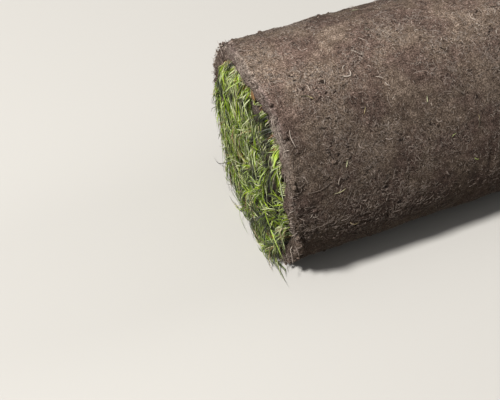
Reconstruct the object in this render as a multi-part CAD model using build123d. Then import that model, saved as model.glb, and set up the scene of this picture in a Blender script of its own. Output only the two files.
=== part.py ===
"""A roll of turf: one strip of lawn, cut with its soil and roots and wound up with the grass inside.

The strip is wound as a compass spiral of half turns about two centres. Each half turn's radius is half a
pitch more than the last one's, so the arcs meet smoothly and the soil keeps its thickness all the way.
Where two turns press on each other the grass between them is packed solid, and near the ends of the roll
it is open, so that the turns show. A place along the strip is given by its winding angle in degrees, which
starts at 0 at the inner end.

Frame: the roll lies along X on the floor, which is z = 0, with its foot centred on the origin and its front
at -Y. It rests on the strip's outer end, which is tucked under the front, and on the turn behind that end.
"""

import math
import os

from build123d import *

# The strip, as it is cut from the field
STRIP_WIDTH = 610.0  # across the strip, and so along the roll
STRIP_LENGTH = 1640.0  # along the middle of the soil, which makes one square metre of lawn
SOIL_THICKNESS = 20.0  # soil and roots, down to the cutting blade
PILE_THICKNESS = 12.0  # the grass, pressed flat between two turns

# The roll
EYE_RADIUS = 24.0  # inner face of the soil at the start of the winding
PILE_RECESS = 45.0  # how deep the gap between the turns is open at each end
CUT_EDGE_ROUND = 4.0  # the outer turn's cut edges, worn round

# Worked out from the sizes above
PITCH = SOIL_THICKNESS + PILE_THICKNESS
CENTRE_SHIFT = PITCH / 4  # the two centres lie this far to either side of the axis
HALF_TURN = 180.0
FULL_TURN = 360.0


def half_turn_of(angle):
    """The number of the half turn that a winding angle is in."""
    return int(angle // HALF_TURN)


def centre_of(half_turn):
    """The centre of a half turn, on one side of the axis or the other."""
    return Vector(-CENTRE_SHIFT if half_turn % 2 == 0 else CENTRE_SHIFT, 0)


def inner_radius_of(half_turn):
    """The radius of the soil's inner, grassy face in a half turn."""
    return EYE_RADIUS + half_turn * PITCH / 2


def strip_end_angle():
    """The winding angle at which the strip's length is used up."""
    left = STRIP_LENGTH
    half_turn = 0
    while True:
        middle = inner_radius_of(half_turn) + SOIL_THICKNESS / 2
        if left <= math.pi * middle:
            return half_turn * HALF_TURN + math.degrees(left / middle)
        left -= math.pi * middle
        half_turn += 1


def point_at(angle, offset):
    """The point at a winding angle, at a distance outwards from the soil's inner face."""
    half_turn = half_turn_of(angle)
    reach = inner_radius_of(half_turn) + offset
    return centre_of(half_turn) + Vector(reach, 0).rotate(Axis.Z, angle)


def spiral(begin, end, offset):
    """The arcs from one winding angle to another, at a distance outwards from the soil's inner face."""
    arcs = []
    while begin < end:
        half_turn = half_turn_of(begin)
        stop = min(end, (half_turn + 1) * HALF_TURN)
        reach = inner_radius_of(half_turn) + offset
        arcs.append(CenterArc(centre_of(half_turn), reach, begin % FULL_TURN, stop - begin))
        begin = stop
    return arcs


def one_turn_face(begin, offset):
    """The face inside one full turn of the spiral, closed by the step across one pitch."""
    end = begin + FULL_TURN
    step = Line(point_at(end, offset), point_at(begin, offset))
    return make_face(spiral(begin, end, offset) + [step])


def pile_gap_face(end):
    """The gap between the turns, where the grass is, from the end of the first turn to the strip's end."""
    bottom, top = -PILE_THICKNESS, 0.0
    ends = [Line(point_at(angle, bottom), point_at(angle, top)) for angle in (FULL_TURN, end)]
    return make_face(spiral(FULL_TURN, end, bottom) + spiral(FULL_TURN, end, top) + ends)


def foot_angle(end):
    """The direction that points down when the roll lies on the strip's end and on the turn behind it.

    The floor touches the corner of the strip's end and is tangent to the turn that comes after it.
    """
    corner = point_at(end, SOIL_THICKNESS)
    behind = end - FULL_TURN
    while True:
        half_turn = half_turn_of(behind)
        reach = inner_radius_of(half_turn) + SOIL_THICKNESS
        to_corner = corner - centre_of(half_turn)
        direction = math.degrees(math.atan2(to_corner.Y, to_corner.X) + math.acos(reach / to_corner.length))
        if (direction - behind) % FULL_TURN <= (half_turn + 1) * HALF_TURN - behind:
            return direction
        behind = (half_turn + 1) * HALF_TURN


def turf_roll():
    """The whole roll as one solid, lying on the floor."""
    end = strip_end_angle()
    section = one_turn_face(end - FULL_TURN, SOIL_THICKNESS)
    roll = extrude(Plane.YZ * section, STRIP_WIDTH / 2, both=True)
    outer_edges = roll.edges().filter_by(Axis.X, reverse=True)
    roll = fillet(outer_edges, CUT_EDGE_ROUND)

    roll -= extrude(Plane.YZ * one_turn_face(0, 0), STRIP_WIDTH / 2, both=True)
    gap = pile_gap_face(end)
    for side in (-1, 1):
        mouth = Plane.YZ.offset(side * STRIP_WIDTH / 2)
        roll -= extrude(mouth * gap, PILE_RECESS, dir=(-side, 0, 0))

    down = 270.0
    roll = Rot(X=down - foot_angle(end)) * roll
    box = roll.bounding_box()
    return Pos(0, -box.center().Y, -box.min.Z) * roll


def main():
    """Writes the roll's STEP file."""
    os.makedirs("parts", exist_ok=True)
    export_step(turf_roll(), "parts/turf_roll.step")


if __name__ == "__main__":
    main()
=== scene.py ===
"""The looks of a roll of turf: cut soil felted with roots outside, and lawn grass hanging out of its ends.

The strip is modelled flat, as a slab cut from the field, and is then wound up by the same compass spiral that
the solid has. What grows on it, lies on it or hangs out of it is placed on the strip first and is wound up
with it. Lengths are metres, and colours are sRGB hex values.
"""

import logging
import math
from abc import ABC, abstractmethod
from dataclasses import dataclass
from enum import Enum
from functools import cached_property
from itertools import product
from typing import ClassVar

import bmesh
import bpy
import numpy as np
from mathutils import Matrix, Vector

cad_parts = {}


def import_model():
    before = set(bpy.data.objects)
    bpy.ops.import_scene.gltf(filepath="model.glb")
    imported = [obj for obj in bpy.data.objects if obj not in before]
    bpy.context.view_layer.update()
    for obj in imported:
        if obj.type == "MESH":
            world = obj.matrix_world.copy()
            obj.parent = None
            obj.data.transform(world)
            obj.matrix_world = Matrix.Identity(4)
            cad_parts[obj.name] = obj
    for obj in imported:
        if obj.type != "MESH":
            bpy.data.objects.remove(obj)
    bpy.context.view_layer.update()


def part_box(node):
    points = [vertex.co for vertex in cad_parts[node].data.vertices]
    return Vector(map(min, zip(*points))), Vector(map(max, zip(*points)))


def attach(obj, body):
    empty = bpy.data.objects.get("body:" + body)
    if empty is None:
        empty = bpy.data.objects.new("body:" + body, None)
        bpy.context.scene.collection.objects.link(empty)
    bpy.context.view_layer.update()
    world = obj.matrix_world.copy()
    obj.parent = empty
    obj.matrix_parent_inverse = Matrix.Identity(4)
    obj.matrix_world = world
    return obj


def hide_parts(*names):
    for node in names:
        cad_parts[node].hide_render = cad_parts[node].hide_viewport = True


Span = tuple[float, float]
Triple = tuple[float, float, float]
Ramp = tuple[tuple[float, str], ...]
Tree = bpy.types.NodeTree
Socket = bpy.types.NodeSocket

MM = 0.001
BODY = "root"
NODE = "turf_roll"
DOWN = np.array([0.0, 0.0, -1.0])
# No vertex is lower than this
ON_FLOOR = 0.3 * MM
# Feet keep this far from the strip's own edges
MARGIN = 1 * MM
# Keeps a vector without a length from a division by 0
TINY = 1e-9
# The roll is painted paler, as painted light on its top, from one of these heights to the other
TOP_LIGHT_FROM = 200 * MM
TOP_LIGHT_TO = 246 * MM

log = logging.getLogger("turf")


class Side(Enum):
    """The roll's two ends, by the sign of their X."""

    LEFT = -1
    RIGHT = 1

    @property
    def outwards(self) -> np.ndarray:
        """The direction out of this end."""
        return np.array([float(self.value), 0.0, 0.0])


class Slot(Enum):
    """The record's material slots."""

    SOIL = "soil"
    GRASS = "grass"


def linear(code: str) -> tuple[float, float, float, float]:
    """Turns a colour into the numbers that a shader takes.

    Args:
        code: an sRGB hex value such as "#67594f".

    Returns:
        Linear red, green and blue, and an alpha of 1.
    """
    parts = [int(code[i : i + 2], 16) / 255 for i in (1, 3, 5)]
    red, green, blue = (c / 12.92 if c <= 0.04045 else ((c + 0.055) / 1.055) ** 2.4 for c in parts)
    return red, green, blue, 1.0


def unit(vectors: np.ndarray) -> np.ndarray:
    """The same directions, each with a length of 1."""
    return vectors / np.maximum(np.linalg.norm(vectors, axis=-1, keepdims=True), TINY)


def either(rng: np.random.Generator, first: np.ndarray, spans: tuple[Span, Span]) -> np.ndarray:
    """Draws a value for each thing, from the first span where first is true and else from the second."""
    return np.where(first, *(rng.uniform(low, high, first.size) for low, high in spans))


def read_vectors(items: bpy.types.bpy_prop_collection, name: str) -> np.ndarray:
    """Reads a vector of each item in a mesh's collection.

    Args:
        items: the collection.
        name: what the vector is called there.

    Returns:
        An array with three columns.
    """
    values = np.zeros(len(items) * 3)
    items.foreach_get(name, values)
    return values.reshape(-1, 3)


def write_vectors(items: bpy.types.bpy_prop_collection, name: str, values: np.ndarray) -> None:
    """Writes an array with three columns into a mesh's collection."""
    items.foreach_set(name, values.ravel())


@dataclass(frozen=True)
class Winding:
    """The strip of turf, and the compass spiral that it is wound up in.

    A place on the strip has three numbers. Across runs from one cut side to the other, with 0 in the middle.
    Along is measured in the middle of the soil from the strip's inner end. Out is the distance outwards from
    the soil's grassy face, so the grass has negative values. The roll's section is handled as complex
    numbers, Y + Zi.
    """

    width: float = 610 * MM
    length: float = 1640 * MM
    soil: float = 20 * MM
    pile: float = 12 * MM
    eye: float = 24 * MM
    half_turns: int = 8
    # The points of the outline from which the roll's rest is worked out
    outline_points: int = 7200

    @property
    def pitch(self) -> float:
        """How far one turn lies from the next."""
        return self.soil + self.pile

    @property
    def half_width(self) -> float:
        """How far the cut sides lie from the middle."""
        return self.width / 2

    @property
    def half_depth(self) -> float:
        """Half of the roll's size from front to back."""
        low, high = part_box(NODE)
        return (high.y - low.y) / 2

    @cached_property
    def half_turn_starts(self) -> np.ndarray:
        """How far along the strip each half turn starts."""
        middle_radii = self.eye + np.arange(self.half_turns) * self.pitch / 2 + self.soil / 2
        return np.concatenate([[0.0], np.cumsum(math.pi * middle_radii)])

    def angle_at(self, along: np.ndarray | float) -> np.ndarray:
        """The winding angle in radians at places along the strip."""
        starts = self.half_turn_starts
        return np.interp(along, starts, math.pi * np.arange(len(starts)))

    def along_at(self, angle: np.ndarray | float) -> np.ndarray:
        """How far along the strip a winding angle in radians is."""
        starts = self.half_turn_starts
        return np.interp(angle, math.pi * np.arange(len(starts)), starts)

    @property
    def last_turn(self) -> float:
        """Where along the strip its outermost turn starts."""
        return float(self.along_at(self.angle_at(self.length) - math.tau))

    def section(self, angle: np.ndarray, out: np.ndarray | float) -> np.ndarray:
        """Places in the section of the roll, before it is laid on the floor.

        Args:
            angle: their winding angles in radians.
            out: how far they are from the soil's grassy face.

        Returns:
            The places, as complex numbers.
        """
        half_turn = np.floor(angle / math.pi)
        centre = np.where(half_turn % 2 == 0, -self.pitch / 4, self.pitch / 4)
        return centre + (self.eye + half_turn * self.pitch / 2 + out) * np.exp(1j * angle)

    @cached_property
    def laid(self) -> tuple[complex, complex]:
        """How the roll is laid on its outer end and on the turn behind that end.

        Returns:
            The turn and the shift of its section.
        """
        end = float(self.angle_at(self.length))
        outline = self.section(np.linspace(end - math.tau, end, self.outline_points), self.soil)
        corner, others = outline[-1], outline[:-1]
        first_met = others[np.argmin(np.angle((others - corner) / -corner))]
        turn = abs(first_met - corner) / (first_met - corner)
        outline = outline * turn
        low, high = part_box(NODE)
        middle = (outline.real.min() + outline.real.max()) / 2
        return turn, complex((low.y + high.y) / 2 - middle, low.z - outline.imag.min())

    def place(self, across: np.ndarray, along: np.ndarray, out: np.ndarray | float) -> np.ndarray:
        """Winds places on the strip up.

        Args:
            across: where they are across the strip.
            along: where they are along the strip.
            out: how far they are from the soil's grassy face.

        Returns:
            Their points on the roll.
        """
        turn, shift = self.laid
        section = self.section(self.angle_at(along), out) * turn + shift
        return np.stack(np.broadcast_arrays(across, section.real, section.imag), axis=-1)

    def pointing(
        self, along: np.ndarray, across: np.ndarray | float, out: np.ndarray | float, on: np.ndarray | float
    ) -> np.ndarray:
        """Directions on the roll, from what they are on the strip.

        Args:
            along: where they are along the strip.
            across: how far each one points along X.
            out: how far it points away from the grass.
            on: how far it points along the strip, away from the inner end.

        Returns:
            The directions, as long as those three make them.
        """
        section = (out + 1j * on) * np.exp(1j * self.angle_at(along)) * self.laid[0]
        return np.stack(np.broadcast_arrays(across, section.real, section.imag), axis=-1)


class Lattice:
    """Smooth random values in space, blended between the points of a seeded lattice."""

    COUNT = 4096
    # Large primes, which scatter the lattice's cells among its values
    STRIDES = (73856093, 19349663, 83492791)

    def __init__(self, seed: int) -> None:
        """Draws the lattice's values from a seed."""
        self.values = np.random.default_rng(seed).uniform(-1, 1, self.COUNT)

    def at(self, points: np.ndarray, size: float) -> np.ndarray:
        """The values at some points.

        Args:
            points: the points, one in a row.
            size: how far apart the lattice's own points are.

        Returns:
            A value from -1 to 1 for each point.
        """
        cell = np.floor(points / size)
        part = points / size - cell
        ease = part * part * (3 - 2 * part)
        total = np.zeros(points.shape[:-1])
        for corner in product((0, 1), repeat=3):
            index = (cell.astype(np.int64) + corner) @ self.STRIDES
            weight = np.prod(np.where(np.array(corner) == 1, ease, 1 - ease), axis=-1)
            total += weight * self.values[index % self.COUNT]
        return total

    def layered(self, points: np.ndarray, layers: tuple[Span, ...]) -> np.ndarray:
        """The sum of the values of several layers, each given by its size and its strength."""
        return sum(self.at(points, size) * strength for size, strength in layers)


@dataclass(frozen=True)
class Hollows:
    """Hollows in the soil: how far apart, how deep and how rare they are, and how they are squeezed."""

    spacing: float
    depth: float
    threshold: float
    squeeze: Triple

    def at(self, lattice: Lattice, places: np.ndarray) -> np.ndarray:
        """How deep they are at some places."""
        return np.maximum(lattice.at(places * self.squeeze, self.spacing) - self.threshold, 0) * self.depth


@dataclass(frozen=True)
class Ground:
    """The strip's soil as the blade, the winding and the handling left it.

    Whatever lies on the soil or grows from it asks this for its place. Layers of randomness are pairs of a
    size and a strength.
    """

    winding: Winding
    lattice: Lattice
    lumps: tuple[Span, ...] = ((90 * MM, 1.6 * MM), (28 * MM, 0.9 * MM), (10 * MM, 0.6 * MM))
    pits: Hollows = Hollows(6.5 * MM, 5 * MM, 0.42, (0.5, 1.0, 1.0))
    pits_where_torn: float = 0.8
    pits_at_edge: float = 1.2
    furrows: Hollows = Hollows(8 * MM, 3 * MM, 0.3, (1.0, 0.12, 0.12))
    torn_level: float = 0.45
    # Sets the torn patches apart from the lumps, which have the same lattice
    torn_shift: float = 0.5
    torn_patches: tuple[Span, ...] = ((36 * MM, 1.1), (13 * MM, 0.7))
    crumb_spacing: float = 6 * MM
    crumb_height: float = 3.2 * MM
    crumbling_width: float = 30 * MM
    strays: tuple[Span, ...] = ((110 * MM, 4.5 * MM), (26 * MM, 1.6 * MM))
    stray_width: float = 60 * MM
    raggedness: float = 0.35
    # How far the left cut side strays where the photograph shows it, by the winding angle in degrees
    seen_stray: tuple[Span, ...] = (
        (1020, -3 * MM),
        (1048, -6.5 * MM),
        (1060, -2.5 * MM),
        (1073, 1 * MM),
        (1092, 4.8 * MM),
        (1097, 1 * MM),
        (1108, -0.5 * MM),
        (1122, -3.3 * MM),
        (1133, -2 * MM),
        (1148, 7 * MM),
        (1170, 4 * MM),
    )

    def inset(self, across: np.ndarray) -> np.ndarray:
        """How far places lie from the nearer cut side."""
        return self.winding.half_width - np.abs(across)

    def torn(self, places: np.ndarray) -> np.ndarray:
        """How roughly the blade and the hands tore the soil, from 0, smeared smooth, to 1."""
        patches = self.lattice.layered(places + self.torn_shift, self.torn_patches)
        return np.clip(self.torn_level + patches, 0, 1)

    def height(self, places: np.ndarray, across: np.ndarray) -> np.ndarray:
        """How far the soil stands out from the plain strip, with its lumps, pits, furrows and crumbs.

        Args:
            places: points on the plain strip, wound up.
            across: where they are across the strip.

        Returns:
            A height for each point.
        """
        crumbling = np.clip(1 - self.inset(across) / self.crumbling_width, 0, 1)
        pitting = self.pits_where_torn * self.torn(places) + self.pits_at_edge * crumbling
        hollows = self.pits.at(self.lattice, places) * pitting
        hollows += self.furrows.at(self.lattice, places) * (1 - crumbling)
        crumbs = self.lattice.at(places - self.crumb_spacing / 3, self.crumb_spacing) * self.crumb_height
        return self.lattice.layered(places, self.lumps) - hollows + crumbs * crumbling

    def stray(self, across: np.ndarray, along: np.ndarray) -> np.ndarray:
        """How far places lie from their true X, because the cut sides don't run straight.

        Args:
            across: where they are across the strip.
            along: where they are along the strip.

        Returns:
            A distance for each place.
        """
        across, along = np.broadcast_arrays(across, along)
        fade = np.clip(1 - self.inset(across) / self.stray_width, 0, 1) ** 2
        line = np.stack([np.sign(across), along, np.zeros_like(along)], axis=-1)
        angles, shifts = np.transpose(self.seen_stray)
        angles, angle = np.radians(angles), self.winding.angle_at(along)
        seen = (np.sign(across) == Side.LEFT.value) & (angle > angles[0]) & (angle < angles[-1])
        size, reach = self.strays[-1]
        ragged = self.raggedness * self.lattice.at(line, size / 2) * reach
        outwards = np.sign(across) * self.lattice.layered(line, self.strays)
        return fade * np.where(seen, np.interp(angle, angles, shifts) - ragged, outwards)

    def on_outer_face(self, across: np.ndarray, along: np.ndarray, lift: np.ndarray) -> np.ndarray:
        """Points on the soil's outer face.

        Args:
            across: where they are across the strip.
            along: where they are along the strip.
            lift: how far they are lifted from the soil.

        Returns:
            The points.
        """
        places = self.winding.place(across, along, self.winding.soil)
        height = self.height(places, across) + lift
        places = places + self.winding.pointing(along, 0, 1, 0) * height[..., None]
        places[..., 0] += self.stray(across, along)
        return places

    def lying(
        self, across: np.ndarray, along: np.ndarray, lift: np.ndarray
    ) -> tuple[np.ndarray, np.ndarray]:
        """Lines that lie on the soil's outer face.

        Args:
            across: where their points are across the strip.
            along: where they are along the strip.
            lift: how far they are lifted from the soil.

        Returns:
            The lines, and which way their widths lie.
        """
        lines = self.on_outer_face(across, along, lift)
        return lines, np.cross(unit(np.gradient(lines, axis=1)), self.winding.pointing(along, 0, 1, 0))

    def on_cut_side(self, side: Side, along: np.ndarray, out: np.ndarray, lift: float) -> np.ndarray:
        """Points on one of the cut sides.

        Args:
            side: the side.
            along: where they are along the strip.
            out: how far they are from the soil's grassy face.
            lift: how far they are lifted from the soil.

        Returns:
            The points.
        """
        edge = np.full(along.shape, side.value * self.winding.half_width)
        places = self.winding.place(edge, along, out)
        places[..., 0] += self.stray(edge, along) + side.value * (self.height(places, edge) + lift)
        return places


def flat_slab(columns: int, rows: int, layers: int, kept_rows: int, fine_from: float) -> bmesh.types.BMesh:
    """A closed slab that reaches from 0 to 1 along each axis.

    Args:
        columns: its cells along X.
        rows: its cells along Y.
        layers: its cells along Z.
        kept_rows: how many rows it keeps beside each long side where it is coarse. Those between become one.
        fine_from: the X from which its top keeps all its rows. Its underside is coarse all over.

    Returns:
        The slab.
    """
    slab = bmesh.new()
    bmesh.ops.create_grid(slab, x_segments=columns, y_segments=rows, size=0.5)
    bmesh.ops.translate(slab, verts=slab.verts, vec=(0.5, 0.5, 1))
    lowered = bmesh.ops.extrude_face_region(slab, geom=slab.faces[:], use_keep_orig=True)["geom"]
    underside = [item for item in lowered if isinstance(item, bmesh.types.BMVert)]
    bmesh.ops.translate(slab, verts=underside, vec=(0, 0, -1))
    uprights = [edge for edge in slab.edges if abs(edge.verts[0].co.z - edge.verts[1].co.z) > 0.5]
    bmesh.ops.subdivide_edges(slab, edges=uprights, cuts=layers - 1)
    margin = (kept_rows + 0.5) / rows
    spare = []
    for edge in slab.edges:
        first, second = edge.verts[0].co, edge.verts[1].co
        lengthwise = abs(first.x - second.x) > 0.5 / columns
        coarse = first.z < 0.5 or max(first.x, second.x) < fine_from + 0.5 / columns
        if lengthwise and coarse and margin < first.y < 1 - margin:
            spare.append(edge)
    bmesh.ops.dissolve_edges(slab, edges=spare, use_verts=True)
    bmesh.ops.recalc_face_normals(slab, faces=slab.faces[:])
    return slab


def stem(corners: int, spans: int, pointed_foot: bool) -> tuple[np.ndarray, np.ndarray]:
    """A closed stem along Z, with a ring of corners at each whole number and a point at its tip.

    Args:
        corners: the corners of its section, which has a radius of 1.
        spans: the pieces that it has along its length.
        pointed_foot: whether its foot is a point too.

    Returns:
        Its vertices, and its triangles as rows of three indices.
    """
    shape = bmesh.new()
    bmesh.ops.create_circle(shape, segments=corners, radius=1.0, cap_ends=not pointed_foot)
    foot = shape.verts[:]
    rim = shape.edges[:]
    for _ in range(spans):
        grown = bmesh.ops.extrude_edge_only(shape, edges=rim)["geom"]
        top = [item for item in grown if isinstance(item, bmesh.types.BMVert)]
        rim = [item for item in grown if isinstance(item, bmesh.types.BMEdge) and item.is_boundary]
        bmesh.ops.translate(shape, verts=top, vec=(0, 0, 1))
    bmesh.ops.pointmerge(shape, verts=top, merge_co=(0, 0, spans))
    if pointed_foot:
        bmesh.ops.pointmerge(shape, verts=foot, merge_co=(0, 0, 0))
    bmesh.ops.triangulate(shape, faces=shape.faces[:])
    bmesh.ops.recalc_face_normals(shape, faces=shape.faces[:])
    return taken_apart(shape)


def taken_apart(shape: bmesh.types.BMesh) -> tuple[np.ndarray, np.ndarray]:
    """Reads a bmesh of triangles and frees it.

    Args:
        shape: the bmesh.

    Returns:
        Its vertices, and its triangles as rows of three indices.
    """
    shape.verts.index_update()
    vertices = np.array([vertex.co for vertex in shape.verts])
    triangles = np.array([[vertex.index for vertex in face.verts] for face in shape.faces])
    shape.free()
    return vertices, triangles


def mesh_of(shape: bmesh.types.BMesh, name: str) -> bpy.types.Mesh:
    """Turns a bmesh into a mesh and frees it.

    Args:
        shape: the bmesh.
        name: the mesh's name.

    Returns:
        The mesh.
    """
    mesh = bpy.data.meshes.new(name)
    shape.to_mesh(mesh)
    shape.free()
    return mesh


def joined_copies(name: str, places: np.ndarray, triangles: np.ndarray) -> bpy.types.Mesh:
    """Joins many copies of one small shape in a mesh, with none of them in the floor.

    Args:
        name: the mesh's name.
        places: the vertices of each copy, as copies by vertices by three.
        triangles: the triangles of the one shape.

    Returns:
        The mesh.
    """
    count, size = places.shape[:2]
    places[..., 2] = np.maximum(places[..., 2], ON_FLOOR)
    indices = (triangles[None] + np.arange(count)[:, None, None] * size).ravel()
    mesh = bpy.data.meshes.new(name)
    mesh.vertices.add(count * size)
    write_vectors(mesh.vertices, "co", places)
    mesh.loops.add(len(indices))
    mesh.loops.foreach_set("vertex_index", indices.astype(np.int32))
    mesh.polygons.add(len(indices) // 3)
    mesh.polygons.foreach_set("loop_start", np.arange(0, len(indices), 3, dtype=np.int32))
    mesh.update(calc_edges=True)
    return mesh


def add_value(mesh: bpy.types.Mesh, name: str, values: np.ndarray) -> None:
    """Gives each vertex of a mesh a number that its material reads."""
    mesh.attributes.new(name, "FLOAT", "POINT").data.foreach_set("value", values.astype(np.float32).ravel())


def add_object(name: str, data: bpy.types.ID) -> bpy.types.Object:
    """Puts an object into the scene.

    Args:
        name: its name.
        data: its mesh, lamp or camera.

    Returns:
        The object.
    """
    thing = bpy.data.objects.new(name, data)
    bpy.context.scene.collection.objects.link(thing)
    return thing


@dataclass
class Strands:
    """Many thin things of one kind, such as blades or roots, each bent along its own line.

    Lines and sides are arrays of strands by points by three: where each strand runs, and which way its width
    lies there. Widths and thicknesses are half the real ones, as strands by points.
    """

    lines: np.ndarray
    sides: np.ndarray
    widths: np.ndarray
    thicknesses: np.ndarray
    tones: np.ndarray

    def mesh(self, name: str, corners: int = 3, pointed_foot: bool = False) -> bpy.types.Mesh:
        """Bends a stem along every line.

        Args:
            name: the mesh's name.
            corners: the corners of a strand's section.
            pointed_foot: whether the strands are pointed at both ends.

        Returns:
            A mesh with the attributes tone, one value for a strand, and reach, from 0 at the foot to 1.
        """
        count, points = self.lines.shape[:2]
        vertices, triangles = stem(corners, points - 1, pointed_foot)
        level = np.rint(vertices[:, 2]).astype(int)
        headings = unit(np.gradient(self.lines, axis=1))
        sides = unit(self.sides - headings * np.sum(self.sides * headings, axis=-1, keepdims=True))
        faces = np.cross(headings, sides)
        places = (
            self.lines[:, level]
            + sides[:, level] * (vertices[:, 0] * self.widths[:, level])[..., None]
            + faces[:, level] * (vertices[:, 1] * self.thicknesses[:, level])[..., None]
        )
        mesh = joined_copies(name, places, triangles)
        add_value(mesh, "tone", np.repeat(self.tones, len(vertices)))
        add_value(mesh, "reach", np.tile(vertices[:, 2] / (points - 1), count))
        return mesh


@dataclass
class Hanging:
    """Thin things that grow out of one end of the roll and hang down beside it.

    Nearest and farthest are how far out of the end they hang, and overhang is how far in front of the roll
    and behind it they may reach. Weights turn their headings downwards at each step, and bends turn them as
    they are grown. Within the mouth, just inside the end, they are less free to turn and are led out.
    """

    winding: Winding
    side: Side
    feet: np.ndarray
    headings: np.ndarray
    lengths: np.ndarray
    weights: np.ndarray
    bends: np.ndarray
    nearest: np.ndarray
    farthest: np.ndarray
    overhang: float = 6 * MM
    mouth: float = 4 * MM
    least_freedom: float = 0.12
    leading_out: float = 0.3
    pushing_out: float = 0.4
    held_back: float = 0.2
    lying: float = 1.6 * MM
    sinking: float = 0.05
    easing: int = 5

    def lines(self, spans: int, steps_in_span: int = 3) -> np.ndarray:
        """Follows every one from its foot to its tip.

        Args:
            spans: the pieces that a line has.
            steps_in_span: how many steps are taken in one piece.

        Returns:
            The lines, each with one point more than its spans.
        """
        outwards = self.side.outwards
        edge = self.winding.half_width
        widest = self.winding.half_depth + self.overhang
        point, heading = self.feet, self.headings
        points = [point]
        for _ in range(spans * steps_in_span):
            freedom = np.clip((point @ outwards - edge) / self.mouth + 1, self.least_freedom, 1)[:, None]
            turning = DOWN * self.weights[:, None] + self.bends
            heading = unit(heading + freedom * turning + (1 - freedom) * self.leading_out * outwards)
            point = point + heading * (self.lengths / (spans * steps_in_span))[:, None]
            proud = point @ outwards - edge
            beyond = proud > self.farthest
            inside = (proud > 0) & (proud < self.nearest)
            pushed = np.where(inside, (self.nearest - proud) * self.pushing_out, 0)
            point += outwards * np.where(beyond, self.farthest - proud, pushed)[:, None]
            heading[:, 0] *= np.where(beyond, self.held_back, 1.0)
            heading[:, 1] *= np.where(np.abs(point[:, 1]) > widest, self.held_back, 1.0)
            lying = point[:, 2] < self.lying
            point[lying, 2] = self.lying
            heading[lying] *= (1, 1, self.sinking)
            points.append(point.copy())
        lines = np.stack(points, axis=1)
        for _ in range(self.easing):
            lines[:, 1:-1] = (lines[:, :-2] + 2 * lines[:, 1:-1] + lines[:, 2:]) / 4
        return lines[:, ::steps_in_span]


def curls(
    rng: np.random.Generator, count: int, points: int, lengths: np.ndarray, curl: float, wobble: float = 0.6
) -> tuple[np.ndarray, np.ndarray]:
    """Short curled lines on a plane, each about its own middle.

    Args:
        rng: the source of chance.
        count: how many lines there are.
        points: the points of a line.
        lengths: how long each line is.
        curl: how much a line turns in all, in radians, as the spread about 0.
        wobble: how unevenly it turns, as a share of that.

    Returns:
        The two coordinates of the points, as lines by points.
    """
    start = rng.uniform(0, math.tau, count)[:, None]
    turning = rng.normal(0, curl, count)[:, None] + rng.normal(0, wobble * curl, (count, points))
    direction = start + np.cumsum(turning / points, axis=1)
    step = (lengths / (points - 1))[:, None]
    first, second = np.cumsum(np.cos(direction) * step, axis=1), np.cumsum(np.sin(direction) * step, axis=1)
    return first - first.mean(axis=1, keepdims=True), second - second.mean(axis=1, keepdims=True)


def painted_top_light(places: np.ndarray) -> np.ndarray:
    """How much painted light pales soil or roots, from 0 to 1. It is strongest on the top of the roll."""
    return np.clip((places[..., 2] - TOP_LIGHT_FROM) / (TOP_LIGHT_TO - TOP_LIGHT_FROM), 0, 1) ** 2


def feed(tree: Tree, node: bpy.types.Node, inputs: dict) -> None:
    """Sets or links some of a node's inputs.

    Args:
        tree: the node tree of a material or world.
        node: the node.
        inputs: by the name or number of an input, a value or the output that feeds it.
    """
    for name, value in inputs.items():
        if isinstance(value, Socket):
            tree.links.new(value, node.inputs[name])
        else:
            node.inputs[name].default_value = value


def add_node(
    tree: Tree, kind: str, inputs: dict | None = None, output: str | None = None, **settings: object
) -> Socket | None:
    """Adds a shader node with its settings and links.

    Args:
        tree: the node tree of a material or world.
        kind: the node's type, without "ShaderNode".
        inputs: what goes into it, as feed takes it.
        output: the name of the output that is asked for, or None for the first one in use.
        settings: its properties, and under stops a colour ramp's positions and colours.

    Returns:
        The output, or None for a node that has none.
    """
    node = tree.nodes.new("ShaderNode" + kind)
    for number, (position, colour) in enumerate(settings.pop("stops", ())):
        stops = node.color_ramp.elements
        stop = stops[number] if number < 2 else stops.new(position)
        stop.position = position
        stop.color = linear(colour)
    for name, value in settings.items():
        setattr(node, name, value)
    feed(tree, node, inputs or {})
    if output:
        return node.outputs[output]
    return next((socket for socket in node.outputs if socket.enabled), None)


def plainly_seen(tree: Tree) -> Socket:
    """Tells the rays that show the studio to the eye from those that light the roll.

    Args:
        tree: the node tree of a material or world.

    Returns:
        1 for a ray that is straight from the camera, in a gloss or through glass, and 0 for others.
    """
    seen = None
    for kind in ("Is Camera Ray", "Is Glossy Ray", "Is Transmission Ray"):
        rays = add_node(tree, "LightPath", output=kind)
        if seen:
            rays = add_node(tree, "Math", {0: seen, 1: rays}, operation="MAXIMUM")
        seen = rays
    return seen


@dataclass(frozen=True)
class Finish(ABC):
    """What a thing is made of, as the eye sees it and as the record names it."""

    name: str
    slot: Slot | None
    roughness: float
    specular: float

    @abstractmethod
    def looks(self, tree: Tree) -> dict[str, Socket]:
        """Adds the nodes that make the finish.

        Args:
            tree: the material's node tree.

        Returns:
            The outputs that feed the shader, by the names of its inputs.
        """

    @cached_property
    def material(self) -> bpy.types.Material:
        """The finish as a material, which is made when it is first asked for.

        Returns:
            The material.
        """
        material = bpy.data.materials.new(self.name)
        material.use_nodes = True
        tree = material.node_tree
        plain = {"Roughness": self.roughness, "Specular IOR Level": self.specular}
        feed(tree, tree.nodes["Principled BSDF"], plain | self.looks(tree))
        return material


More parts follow.
